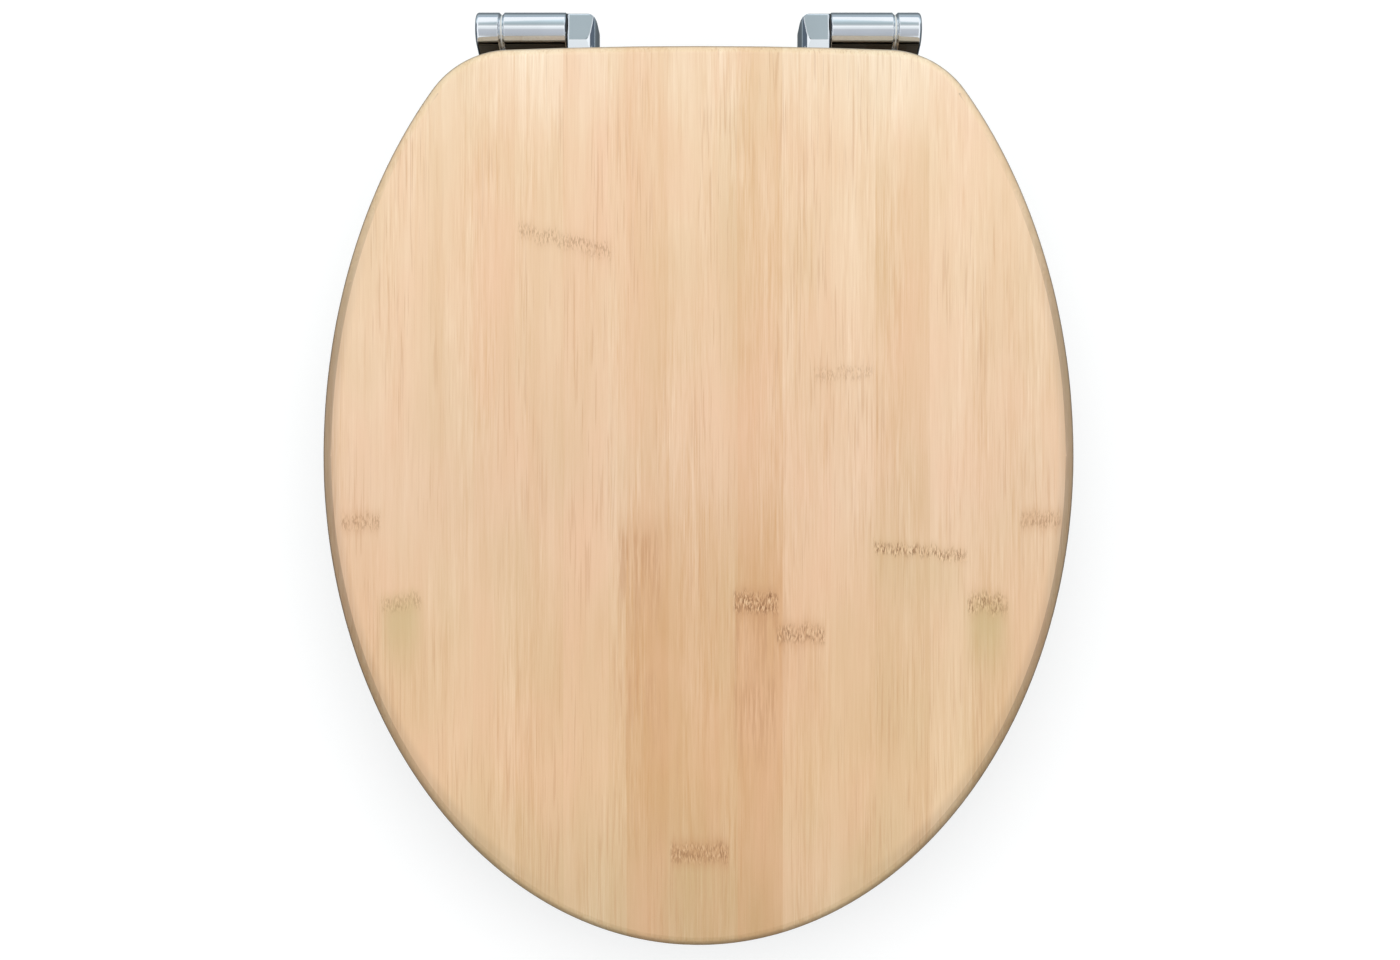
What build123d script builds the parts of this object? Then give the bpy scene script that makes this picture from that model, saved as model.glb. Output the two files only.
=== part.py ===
from build123d import *
import os
from math import asin, atan2, cos, degrees, radians, sin, tan

os.makedirs("parts", exist_ok=True)

# Millimetres. The origin lies midway between the two fixing studs, on the top of the bowl.
# +X is to the right, +Y to the hinges, +Z up. The lid and the seat ring are closed.

# Outline of the lid, seen from above
lid_width = 373.0
front_length = 243.2  # from the widest line to the tip
rear_length = 258.5  # half length of the rear ellipse, which the rear edge cuts off
rear_reach = 203.8  # from the widest line to the middle of the rear edge
rear_bow = 2.8  # how much further back the rear edge is at its middle than at its corners
corner_radius = 48.0

# Lid and seat ring
lid_thickness = 16.0
lid_upper_round = 5.0
lid_lower_round = 2.4
ring_thickness = 17.0
ring_inset = 1.5  # how much smaller the ring is than the lid, all round
ring_upper_round = 4.0
ring_lower_round = 2.4
ring_side_band = 70.0
ring_front_band = 76.0
ring_rear_band = 94.0
opening_shift = 6.0  # the opening's widest line, forward of the outline's
opening_upper_round = 7.0
opening_lower_round = 3.0

# Bumpers
seat_bumper_height = 8.5
seat_bumper_length = 34.0
seat_bumper_width = 13.0
seat_bumper_round = 2.0
lid_bumper_height = 4.0
lid_bumper_radius = 8.0
lid_bumper_round = 1.2
front_bumper_angle = -50.0  # places on the ring's middle line, from its widest line
rear_bumper_angle = 40.0
seat_bumper_screw_spacing = 20.0

# Hinge barrel and knuckles
hinge_spacing = 167.0  # between the middles of the two barrels
hinge_setback = 5.5  # the hinge axis, behind the fixing studs
edge_gap = 13.4  # from the hinge axis to the rear edge of the lid
barrel_radius = 9.5
barrel_length = 32.6
barrel_inner_chamfer = 0.5
barrel_groove_chamfer = 1.2  # either side of the groove between barrel and seat knuckle
lid_knuckle_length = 15.2
seat_knuckle_length = 12.7
inner_gap = 0.8  # between barrel and lid knuckle, filled by a thrust washer
outer_gap = 0.6  # between barrel and seat knuckle
knuckle_step = 1.0  # the lid knuckle's highest line, above the lid's underside
knuckle_front = 12.0  # from the hinge axis to the knuckle's front face
knuckle_peak = 6.8  # from the hinge axis forward to the knuckle's highest line
knuckle_tilt = 7.5  # degrees by which its top falls to the rear of that line
knuckle_front_fall = 0.45  # and how far it falls to its front face
knuckle_back = 7.2  # from the hinge axis to the knuckle's rear face
knuckle_rear_round = 1.2
knuckle_inner_round = 6.0  # on top and behind, at the end away from the barrel
knuckle_lower_round = 2.0  # the same end, below
knuckle_gap_round = 0.8
seat_knuckle_end_round = 1.6

# Plates of the arms
plate_thickness = 3.5
plate_width = 26.0
plate_reach = 70.0  # from the hinge axis to the plate's tip
plate_root_length = 4.0  # the straight stretch before the plate widens
lid_plate_root = 9.0  # how wide the lid arm's plate is there
plate_edge_round = 0.8
seat_arm_drop = 14.0  # from the hinge axis forward to where the seat arm turns level
root_screw = 34.0  # from the hinge axis to the first screw
tip_screws = 57.0  # and to the other two
tip_screw_offset = 6.5

# Damper, pin and their seats
pin_radius = 3.0
pin_chamfer = 0.3
shaft_flat = 2.2  # from the shaft's middle to each of its two flats
socket_depth = 9.0
damper_radius = 7.0
damper_length = 22.0
damper_shaft_depth = 14.0
key_width = 2.5
key_height = 1.0
bush_radius = 5.0
bush_length = 8.0
washer_inset = 0.5  # the inner thrust washer's edge, below the barrel's surface

# Base
gasket_thickness = 2.0
gasket_radius = 15.4
gasket_hole_radius = 5.5
disc_thickness = 4.0
disc_radius = 15.9
disc_round = 0.6
post_radius = 8.0
post_foot_chamfer = 0.8
saddle_round = 2.0  # where the barrel grows out of its post
spigot_radius = 5.0
spigot_height = 5.5
groove_depth = 0.8
grub_radius = 2.0
grub_height = 3.0  # the grub screw's axis, above the disc
grub_recess = 0.6
grub_hexagon = 1.15
grub_hexagon_depth = 1.6

# Fixing studs
stud_spacing = 155.0
shank_radius = 4.0
shank_depth = 12.0  # the plain shank's lower end, below the bowl's top
thread_radius = 3.6  # M8, drawn at its pitch diameter
stud_depth = 62.0
stud_top_gap = 0.5
stud_chamfer = 0.8
bowl_thickness = 18.0
cone_height = 5.0
cone_top_radius = 6.4
cone_foot_radius = 8.4
flange_radius = 12.5
flange_thickness = 2.5
flat_washer_radius = 11.0
flat_washer_thickness = 1.6
nut_height = 12.0
nut_upper_radius = 8.5
nut_lower_radius = 7.0
wing_reach = 19.0
wing_radius = 5.0
wing_root_height = 6.0
wing_thickness = 3.2
wing_round = 0.9

# Screws, with the radius of the head and of the core
plate_screw_length = 12.5
plate_screw_head = 4.0
plate_screw_core = 1.6
bumper_screw_head = 2.6
bumper_screw_core = 1.1
lid_bumper_screw_length = 11.0
seat_bumper_screw_length = 14.0
lid_bumper_screw_recess = 1.0
seat_bumper_screw_recess = 3.5
cross_span = 1.1  # the cross recess, as shares of the head's radius
cross_width = 0.24

# Clearances, in radius or per face
running_clearance = 0.05
seat_clearance = 0.05
thread_clearance = 0.05
washer_clearance = 0.3

# Levels and places that follow from these
ring_z = seat_bumper_height
ring_top = ring_z + ring_thickness
lid_z = ring_top + lid_bumper_height
axis_y = hinge_setback
axis_z = lid_z + knuckle_step - barrel_radius
rear_edge_y = axis_y - edge_gap
widest_y = rear_edge_y - rear_reach
disc_top = gasket_thickness + disc_thickness
stud_x = stud_spacing / 2
barrel_x = hinge_spacing / 2
barrel_inner = barrel_x - barrel_length / 2
barrel_outer = barrel_x + barrel_length / 2
lid_knuckle_outer = barrel_inner - inner_gap
lid_knuckle_inner = lid_knuckle_outer - lid_knuckle_length
seat_knuckle_inner = barrel_outer + outer_gap
seat_knuckle_outer = seat_knuckle_inner + seat_knuckle_length
opening_half_width = lid_width / 2 - ring_inset - ring_side_band
opening_front = front_length - ring_inset - ring_front_band - opening_shift
opening_rear = rear_reach - ring_inset - ring_rear_band + opening_shift
lid_plate_x = (lid_knuckle_inner + lid_knuckle_outer) / 2
seat_plate_x = (seat_knuckle_inner + seat_knuckle_outer) / 2
lid_plate_z = lid_z - plate_thickness
seat_plate_z = ring_z - plate_thickness
lid_bumper_z = lid_z - lid_bumper_height


def save(piece, name):
    piece.label = name
    export_step(piece, f"parts/{name}.step")


def board_outline(inset, z):
    # Half an ellipse in front, two arcs of a longer one behind, and a bowed rear edge
    half_width = lid_width / 2 - inset
    rear = rear_length - inset
    edge = rear_reach - inset
    corner = degrees(asin((edge - rear_bow) / rear))
    centre = (0, widest_y)
    with BuildSketch(Plane.XY.offset(z)) as outline:
        with BuildLine():
            EllipticalCenterArc(centre, half_width, front_length - inset, 180, arc_size=180)
            right = EllipticalCenterArc(centre, half_width, rear, 0, arc_size=corner)
            left = EllipticalCenterArc(centre, half_width, rear, 180 - corner, arc_size=corner)
            ThreePointArc(right @ 1, (0, widest_y + edge), left @ 0)
        make_face()
    return outline.sketch


def opening_outline(z):
    centre = (0, widest_y - opening_shift)
    with BuildSketch(Plane.XY.offset(z)) as outline:
        with BuildLine():
            EllipticalCenterArc(centre, opening_half_width, opening_front, 180, arc_size=180)
            EllipticalCenterArc(centre, opening_half_width, opening_rear, 0, arc_size=180)
        make_face()
    return outline.sketch


def wood_screw(length, head, core, grow=0.0):
    # A countersunk screw that points up from its head's face; grow gives the hole it fits
    cone = head - core
    with BuildPart() as screw:
        with BuildSketch(Plane.XZ):
            with BuildLine():
                Polyline(
                    (0, 0),
                    (head + grow, 0),
                    (core + grow, cone),
                    (core + grow, length - core),
                    (0, length + grow),
                    close=True,
                )
            make_face()
        revolve(axis=Axis.Z)
        if grow == 0:
            Box(head * cross_span, head * cross_width, cone, mode=Mode.SUBTRACT)
            Box(head * cross_width, head * cross_span, cone, mode=Mode.SUBTRACT)
    return screw.part


def plate_screw(grow=0.0):
    return wood_screw(plate_screw_length, plate_screw_head, plate_screw_core, grow)


def lid_bumper_screw(grow=0.0):
    return wood_screw(lid_bumper_screw_length, bumper_screw_head, bumper_screw_core, grow)


def seat_bumper_screw(grow=0.0):
    return wood_screw(seat_bumper_screw_length, bumper_screw_head, bumper_screw_core, grow)


def plate_screw_places(x, z):
    # One screw near the root of a plate and two side by side near its tip
    return [
        (x, axis_y - root_screw, z),
        (x - tip_screw_offset, axis_y - tip_screws, z),
        (x + tip_screw_offset, axis_y - tip_screws, z),
    ]


def bumper_places():
    # Right and left at each of the two angles, with the direction of the ring there
    across = (lid_width / 2 - ring_inset + opening_half_width) / 2
    places = []
    for angle, outer, inner in (
        (front_bumper_angle, front_length - ring_inset, opening_front + opening_shift),
        (rear_bumper_angle, rear_reach - ring_inset, opening_rear - opening_shift),
    ):
        turn = radians(angle)
        along = (outer + inner) / 2
        x = across * cos(turn)
        y = widest_y + along * sin(turn)
        heading = degrees(atan2(along * cos(turn), -across * sin(turn)))
        places += [(x, y, heading), (-x, y, 180 - heading)]
    return places


def seat_bumper_screw_places():
    places = []
    for x, y, heading in bumper_places():
        turn = radians(heading)
        for half in (-seat_bumper_screw_spacing / 2, seat_bumper_screw_spacing / 2):
            places.append((x + half * cos(turn), y + half * sin(turn), seat_bumper_screw_recess))
    return places


def lid_bumper_screw_places():
    z = lid_bumper_z + lid_bumper_screw_recess
    return [(x, y, z) for x, y, heading in bumper_places()]


# Lid: a bamboo board with rounded edges and the pilot holes of its screws
with BuildPart() as lid:
    extrude(board_outline(0, lid_z), amount=lid_thickness)
    fillet(lid.edges().filter_by(Axis.Z).sort_by(Axis.Y)[-2:], corner_radius)
    fillet(lid.faces().sort_by(Axis.Z)[-1].edges(), lid_upper_round)
    fillet(lid.faces().sort_by(Axis.Z)[0].edges(), lid_lower_round)
    for x in (-lid_plate_x, lid_plate_x):
        with Locations(*plate_screw_places(x, lid_plate_z)):
            add(plate_screw(thread_clearance), mode=Mode.SUBTRACT)
    with Locations(*lid_bumper_screw_places()):
        add(lid_bumper_screw(thread_clearance), mode=Mode.SUBTRACT)
save(lid.part, "lid")


# Seat ring: the same outline a little smaller, with a softly rounded oval opening
with BuildPart() as seat_ring:
    extrude(board_outline(ring_inset, ring_z), amount=ring_thickness)
    fillet(
        seat_ring.edges().filter_by(Axis.Z).sort_by(Axis.Y)[-2:], corner_radius - ring_inset
    )
    extrude(opening_outline(ring_z), amount=ring_thickness, mode=Mode.SUBTRACT)
    upper = seat_ring.faces().sort_by(Axis.Z)[-1]
    fillet(upper.outer_wire().edges(), ring_upper_round)
    fillet(
        seat_ring.faces().sort_by(Axis.Z)[-1].inner_wires()[0].edges(), opening_upper_round
    )
    fillet(seat_ring.faces().sort_by(Axis.Z)[0].outer_wire().edges(), ring_lower_round)
    fillet(
        seat_ring.faces().sort_by(Axis.Z)[0].inner_wires()[0].edges(), opening_lower_round
    )
    for x in (-seat_plate_x, seat_plate_x):
        with Locations(*plate_screw_places(x, seat_plate_z)):
            add(plate_screw(thread_clearance), mode=Mode.SUBTRACT)
    with Locations(*seat_bumper_screw_places()):
        add(seat_bumper_screw(thread_clearance), mode=Mode.SUBTRACT)
save(seat_ring.part, "seat_ring")


def head_recess(depth):
    # The straight hole in a bumper, below the head of its screw
    with BuildPart() as recess:
        with BuildSketch():
            Circle(bumper_screw_head + thread_clearance)
        extrude(amount=-depth)
    return recess.part


# Seat bumpers: rubber slots that follow the ring and carry it on the bowl
with BuildPart() as seat_bumpers:
    with BuildSketch():
        for x, y, heading in bumper_places():
            with Locations(Location((x, y), heading)):
                SlotOverall(seat_bumper_length, seat_bumper_width)
    extrude(amount=seat_bumper_height)
    fillet(seat_bumpers.faces().filter_by(Axis.Z).group_by(Axis.Z)[0].edges(), seat_bumper_round)
    with Locations(*seat_bumper_screw_places()):
        add(seat_bumper_screw(thread_clearance), mode=Mode.SUBTRACT)
        add(head_recess(seat_bumper_screw_recess), mode=Mode.SUBTRACT)
save(seat_bumpers.part, "seat_bumpers")


# Lid bumpers: round rubber buttons between the lid and the ring
with BuildPart() as lid_bumpers:
    with BuildSketch(Plane.XY.offset(lid_bumper_z)):
        with Locations(*[(x, y) for x, y, heading in bumper_places()]):
            Circle(lid_bumper_radius)
    extrude(amount=lid_bumper_height)
    fillet(lid_bumpers.faces().filter_by(Axis.Z).group_by(Axis.Z)[0].edges(), lid_bumper_round)
    with Locations(*lid_bumper_screw_places()):
        add(lid_bumper_screw(thread_clearance), mode=Mode.SUBTRACT)
        add(head_recess(lid_bumper_screw_recess), mode=Mode.SUBTRACT)
save(lid_bumpers.part, "lid_bumpers")


# The screws of the bumpers
with BuildPart() as seat_bumper_screws:
    with Locations(*seat_bumper_screw_places()):
        add(seat_bumper_screw())
save(seat_bumper_screws.part, "seat_bumper_screws")

with BuildPart() as lid_bumper_screws:
    with Locations(*lid_bumper_screw_places()):
        add(lid_bumper_screw())
save(lid_bumper_screws.part, "lid_bumper_screws")


def axis_plane(x):
    # Across the hinge axis at x: its own x runs to the rear and its own y runs up
    return Plane(origin=(x, axis_y, axis_z), x_dir=(0, 1, 0), z_dir=(1, 0, 0))


def socket_sketch(damped, grow=0.0):
    # What an arm turns with: the damper's double-D shaft, or the round pin
    Circle(pin_radius + grow)
    if damped:
        Rectangle(2 * (shaft_flat + grow), 2 * barrel_radius, mode=Mode.INTERSECT)


def make_housing(side, name, inward, damper_mouth, bush_mouth):
    # The fixed barrel with its post, bored from one end for the damper and from the other for the bush
    with BuildPart() as housing:
        with BuildSketch(Plane.XY.offset(disc_top)):
            with Locations((side * barrel_x, axis_y)):
                Circle(post_radius)
        extrude(amount=axis_z - disc_top)
        chamfer(housing.edges().group_by(Axis.Z)[0], post_foot_chamfer)
        with BuildSketch(axis_plane(side * barrel_inner)):
            Circle(barrel_radius)
        extrude(amount=side * barrel_length)
        fillet(housing.edges().filter_by(GeomType.BSPLINE), saddle_round)
        ends = housing.faces().filter_by(Axis.X).sort_by(Axis.X, reverse=side < 0)
        chamfer(ends[0].edges(), barrel_inner_chamfer)
        chamfer(ends[-1].edges(), barrel_groove_chamfer)
        with BuildSketch(axis_plane(damper_mouth)):
            Circle(damper_radius)
            Rectangle(key_width, 2 * (damper_radius + key_height))
        extrude(amount=inward * damper_length, mode=Mode.SUBTRACT)
        with BuildSketch(axis_plane(bush_mouth)):
            Circle(bush_radius)
        extrude(amount=-inward * bush_length, mode=Mode.SUBTRACT)
        with BuildSketch(Plane.XY.offset(disc_top)):
            with Locations((side * barrel_x, axis_y)):
                Circle(spigot_radius + seat_clearance)
        extrude(amount=spigot_height + seat_clearance, mode=Mode.SUBTRACT)
        with BuildSketch(grub_plane(side, axis_y + post_radius)):
            Circle(grub_radius + thread_clearance)
        extrude(amount=post_radius, mode=Mode.SUBTRACT)
    save(housing.part, f"{name}_hinge_housing")


def grub_plane(side, y):
    # Faces forward, on the grub screw's axis
    return Plane(
        origin=(side * barrel_x, y, disc_top + grub_height), x_dir=(1, 0, 0), z_dir=(0, -1, 0)
    )


def make_damper(side, name, inward, mouth, gap):
    with BuildPart() as body:
        with BuildSketch(axis_plane(mouth)):
            Circle(damper_radius - seat_clearance)
            Rectangle(
                key_width - 2 * seat_clearance, 2 * (damper_radius + key_height - seat_clearance)
            )
        extrude(amount=inward * damper_length)
        with BuildSketch(axis_plane(mouth)):
            Circle(pin_radius + running_clearance)
        extrude(amount=inward * damper_shaft_depth, mode=Mode.SUBTRACT)
    save(body.part, f"{name}_damper_body")
    with BuildPart() as shaft:
        with BuildSketch(axis_plane(mouth)):
            Circle(pin_radius)
        extrude(amount=inward * (damper_shaft_depth - running_clearance))
        with BuildSketch(axis_plane(mouth)):
            socket_sketch(True)
        extrude(amount=-inward * (gap + socket_depth - seat_clearance))
    save(shaft.part, f"{name}_damper_shaft")


def make_pin(name, inward, mouth, gap):
    with BuildPart() as bush:
        with BuildSketch(axis_plane(mouth)):
            Circle(bush_radius - seat_clearance)
            Circle(pin_radius + running_clearance, mode=Mode.SUBTRACT)
        extrude(amount=-inward * bush_length)
    save(bush.part, f"{name}_pin_bush")
    with BuildPart() as pin:
        with BuildSketch(axis_plane(mouth - inward * (bush_length - running_clearance))):
            socket_sketch(False)
        extrude(amount=inward * (bush_length + gap + socket_depth - 2 * seat_clearance))
        chamfer(pin.faces().filter_by(Axis.X).edges(), pin_chamfer)
    save(pin.part, f"{name}_hinge_pin")


def make_thrust_washers(side, name):
    for end, mouth, outwards, gap, radius in (
        ("inner", barrel_inner, -1, inner_gap, barrel_radius - washer_inset),
        ("outer", barrel_outer, 1, outer_gap, barrel_radius - barrel_groove_chamfer),
    ):
        with BuildPart() as washer:
            with BuildSketch(axis_plane(side * mouth)):
                Circle(radius)
                Circle(pin_radius + washer_clearance, mode=Mode.SUBTRACT)
            extrude(amount=side * outwards * (gap - running_clearance))
        save(washer.part, f"{name}_{end}_thrust_washer")


def make_plate(x, z, start, root_width):
    # Widens from its straight root, start in front of the hinge axis, to a round tip
    with BuildPart() as plate:
        with BuildSketch(Plane.XY.offset(z)):
            with Locations((x, axis_y - start - plate_root_length / 2)):
                Rectangle(root_width, plate_root_length)
            with Locations((x, axis_y - plate_reach + plate_width / 2)):
                Circle(plate_width / 2)
            make_hull()
        extrude(amount=plate_thickness)
        fillet(plate.edges().group_by(Axis.Z)[0], plate_edge_round)
    return plate.part


def lid_knuckle_outline():
    # Round below, with a top that falls to the rear of its highest line and into a rounded corner
    tilt = radians(knuckle_tilt)
    back = knuckle_back - knuckle_rear_round
    top_over_back = barrel_radius - (back + knuckle_peak) * tan(tilt)
    with BuildLine() as outline:
        under = CenterArc((0, 0), barrel_radius, -90, degrees(asin(knuckle_back / barrel_radius)))
        over = CenterArc(
            (back, top_over_back - knuckle_rear_round / cos(tilt)),
            knuckle_rear_round,
            0,
            90 - knuckle_tilt,
        )
        Line(under @ 1, over @ 0)
        Polyline(
            over @ 1,
            (-knuckle_peak, barrel_radius),
            (-knuckle_front, barrel_radius - knuckle_front_fall),
            (-knuckle_front, -barrel_radius),
            under @ 0,
        )
    return outline.line


def round_knuckle(side):
    # What a box of the knuckle's size keeps when its end away from the barrel is rounded
    reach = 2 * axis_z
    with BuildPart() as limits:
        with BuildSketch(Plane.XY) as plan:
            with Locations((side * lid_plate_x, axis_y + (knuckle_back - knuckle_front) / 2)):
                Rectangle(lid_knuckle_length, knuckle_front + knuckle_back)
            corners = plan.vertices().sort_by(Axis.X, reverse=side < 0)[:2]
            fillet(corners.sort_by(Axis.Y)[-1], knuckle_inner_round)
        extrude(amount=reach)
        with BuildSketch(Plane.XZ) as front:
            with Locations((side * lid_plate_x, axis_z)):
                Rectangle(lid_knuckle_length, 2 * barrel_radius)
            corners = front.vertices().sort_by(Axis.X, reverse=side < 0)[:2]
            lower, upper = corners.sort_by(Axis.Y)
            fillet(upper, knuckle_inner_round)
            fillet(lower, knuckle_lower_round)
        extrude(amount=reach, both=True, mode=Mode.INTERSECT)
    return limits.part


def make_lid_arm(side, name, damped):
    with BuildPart() as arm:
        with BuildSketch(axis_plane(side * lid_knuckle_inner)):
            with BuildLine():
                add(lid_knuckle_outline())
            make_face()
        extrude(amount=side * lid_knuckle_length)
        ends = arm.faces().filter_by(Axis.X).sort_by(Axis.X, reverse=side < 0)
        fillet(ends[-1].edges(), knuckle_gap_round)
        add(round_knuckle(side), mode=Mode.INTERSECT)
        add(make_plate(side * lid_plate_x, lid_plate_z, knuckle_peak, lid_plate_root))
        with BuildSketch(axis_plane(side * lid_knuckle_outer)):
            socket_sketch(damped, seat_clearance)
        extrude(amount=-side * socket_depth, mode=Mode.SUBTRACT)
        with Locations(*plate_screw_places(side * lid_plate_x, lid_plate_z)):
            add(plate_screw(thread_clearance), mode=Mode.SUBTRACT)
    save(arm.part, f"{name}_lid_arm")


def make_seat_arm(side, name, damped):
    with BuildPart() as arm:
        with BuildSketch(axis_plane(side * seat_knuckle_inner)):
            Circle(barrel_radius)
            with Locations((-seat_arm_drop, seat_plate_z - axis_z + plate_thickness / 2)):
                Circle(plate_thickness / 2)
            make_hull()
        extrude(amount=side * seat_knuckle_length)
        ends = arm.faces().filter_by(Axis.X).sort_by(Axis.X, reverse=side < 0)
        chamfer(ends[0].edges(), barrel_groove_chamfer)
        fillet(ends[-1].edges(), seat_knuckle_end_round)
        root_width = seat_knuckle_length - seat_knuckle_end_round
        add(make_plate(side * seat_plate_x, seat_plate_z, seat_arm_drop, root_width))
        with BuildSketch(axis_plane(side * seat_knuckle_inner)):
            socket_sketch(damped, seat_clearance)
        extrude(amount=side * socket_depth, mode=Mode.SUBTRACT)
        with Locations(*plate_screw_places(side * seat_plate_x, seat_plate_z)):
            add(plate_screw(thread_clearance), mode=Mode.SUBTRACT)
    save(arm.part, f"{name}_seat_arm")


def make_plate_screws(side, name):
    for arm, x, z in (("lid", lid_plate_x, lid_plate_z), ("seat", seat_plate_x, seat_plate_z)):
        with BuildPart() as screws:
            with Locations(*plate_screw_places(side * x, z)):
                add(plate_screw())
        save(screws.part, f"{name}_{arm}_arm_screws")


def make_base(side, name):
    # The disc is centred on the stud, and its spigot stands off centre under the barrel
    with BuildPart() as gasket:
        with BuildSketch():
            with Locations((side * stud_x, 0)):
                Circle(gasket_radius)
                Circle(gasket_hole_radius, mode=Mode.SUBTRACT)
        extrude(amount=gasket_thickness)
    save(gasket.part, f"{name}_base_gasket")
    with BuildPart() as disc:
        with BuildSketch(Plane.XY.offset(gasket_thickness)):
            with Locations((side * stud_x, 0)):
                Circle(disc_radius)
        extrude(amount=disc_thickness)
        fillet(disc.edges().group_by(Axis.Z)[-1], disc_round)
        with BuildSketch(Plane.XY.offset(disc_top)):
            with Locations((side * barrel_x, axis_y)):
                Circle(spigot_radius)
        extrude(amount=spigot_height)
        with BuildSketch(Plane.XY.offset(disc_top + grub_height - grub_radius)):
            with Locations((side * barrel_x, axis_y)):
                Circle(spigot_radius)
                Circle(spigot_radius - groove_depth, mode=Mode.SUBTRACT)
        extrude(amount=2 * grub_radius, mode=Mode.SUBTRACT)
        with BuildSketch(Plane.XY.offset(gasket_thickness)):
            with Locations((side * stud_x, 0)):
                Circle(thread_radius + thread_clearance)
        extrude(amount=disc_thickness, mode=Mode.SUBTRACT)
    save(disc.part, f"{name}_base_disc")
    seat = axis_y + spigot_radius - groove_depth
    length = post_radius - grub_recess - spigot_radius + groove_depth
    with BuildPart() as grub:
        with BuildSketch(grub_plane(side, seat + length)):
            Circle(grub_radius)
        extrude(amount=length)
        with BuildSketch(grub_plane(side, seat + length)):
            RegularPolygon(grub_hexagon, 6)
        extrude(amount=grub_hexagon_depth, mode=Mode.SUBTRACT)
    save(grub.part, f"{name}_grub_screw")


def ring_of_revolution(x, points):
    # A closed profile of (radius, height) points, turned about a stud's axis
    with BuildPart() as ring:
        with BuildSketch(Plane.XZ):
            with BuildLine():
                Polyline(*points, close=True)
            make_face()
        revolve(axis=Axis.Z)
    return ring.part.moved(Location((x, 0, 0)))


def make_wing(x, way, nut_top):
    # One wing of the nut, which hangs a little below the nut's lower end
    with BuildPart() as wing:
        with BuildSketch(Plane.XZ.offset(-wing_thickness / 2)):
            with Locations((x + way * nut_lower_radius / 2, nut_top - nut_height / 2)):
                Rectangle(nut_lower_radius, wing_root_height)
            with Locations((x + way * (wing_reach - wing_radius), nut_top - nut_height)):
                Circle(wing_radius)
            make_hull()
        extrude(amount=wing_thickness)
        fillet(wing.faces().filter_by(Axis.Y).edges(), wing_round)
    return wing.part


def make_fixing(side, name):
    x = side * stud_x
    top = disc_top - stud_top_gap
    stud = ring_of_revolution(
        x,
        [
            (0, top),
            (thread_radius, top),
            (thread_radius, gasket_thickness),
            (shank_radius, gasket_thickness),
            (shank_radius, -shank_depth),
            (thread_radius, -shank_depth),
            (thread_radius, stud_chamfer - stud_depth),
            (thread_radius - stud_chamfer, -stud_depth),
            (0, -stud_depth),
        ],
    )
    save(stud, f"{name}_fixing_stud")
    bore = thread_radius + thread_clearance
    flange_z = -bowl_thickness - flange_thickness
    cone = ring_of_revolution(
        x,
        [
            (bore, cone_height - bowl_thickness),
            (cone_top_radius, cone_height - bowl_thickness),
            (cone_foot_radius, -bowl_thickness),
            (flange_radius, -bowl_thickness),
            (flange_radius, flange_z),
            (bore, flange_z),
        ],
    )
    save(cone, f"{name}_cone_washer")
    washer_z = flange_z - flat_washer_thickness
    washer = ring_of_revolution(
        x,
        [
            (bore, flange_z),
            (flat_washer_radius, flange_z),
            (flat_washer_radius, washer_z),
            (bore, washer_z),
        ],
    )
    save(washer, f"{name}_flat_washer")
    with BuildPart() as nut:
        with BuildSketch(Plane.XY.offset(washer_z)):
            with Locations((x, 0)):
                Circle(nut_upper_radius)
        with BuildSketch(Plane.XY.offset(washer_z - nut_height)):
            with Locations((x, 0)):
                Circle(nut_lower_radius)
        loft()
        for way in (-1, 1):
            add(make_wing(x, way, washer_z))
        with BuildSketch(Plane.XY.offset(washer_z)):
            with Locations((x, 0)):
                Circle(bore)
        extrude(amount=-nut_height, mode=Mode.SUBTRACT)
    save(nut.part, f"{name}_wing_nut")


# The damper of the left hinge slows the lid, and that of the right hinge slows the seat
for side, name, lid_damped in ((-1, "left", True), (1, "right", False)):
    damper_end, bush_end = barrel_inner, barrel_outer
    damper_gap, bush_gap = inner_gap, outer_gap
    inward = side
    if not lid_damped:
        damper_end, bush_end = bush_end, damper_end
        damper_gap, bush_gap = bush_gap, damper_gap
        inward = -side
    make_housing(side, name, inward, side * damper_end, side * bush_end)
    make_damper(side, name, inward, side * damper_end, damper_gap)
    make_pin(name, inward, side * bush_end, bush_gap)
    make_thrust_washers(side, name)
    make_lid_arm(side, name, lid_damped)
    make_seat_arm(side, name, not lid_damped)
    make_plate_screws(side, name)
    make_base(side, name)
    make_fixing(side, name)
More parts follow.
